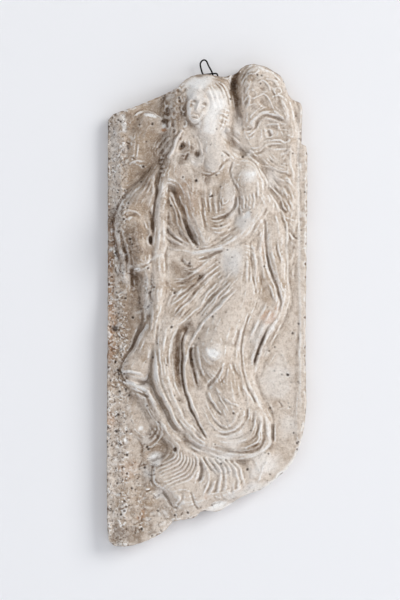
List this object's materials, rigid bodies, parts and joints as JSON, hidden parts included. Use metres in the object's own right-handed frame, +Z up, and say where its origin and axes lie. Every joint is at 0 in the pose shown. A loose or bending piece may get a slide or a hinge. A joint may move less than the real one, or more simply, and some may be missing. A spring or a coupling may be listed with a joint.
{
  "type": "plaster relief plaque",
  "caption": "Tall irregular cast plaster relief of a winged musician in fluttering robes playing a long pipe, hung by a wire eye set in its top edge.",
  "frame": {"origin": "centre of the flat back, in its plane", "axes": "+Y out of the back towards the wall, -Y out of the carved front, +Z up, +X to the right of someone who faces the front"},
  "size_m": [0.251, 0.0632, 0.6104],
  "materials": {
    "worn_plaster": "matt cast plaster, aged warm beige with brown grime in its hollows, white chips and small pits",
    "black_iron": "thin black iron wire, dull and slightly rusted"
  },
  "bodies": {
    "root": {"plaster_plaque": "worn_plaster", "hanging_wire": "black_iron"}
  },
  "joints": []
}
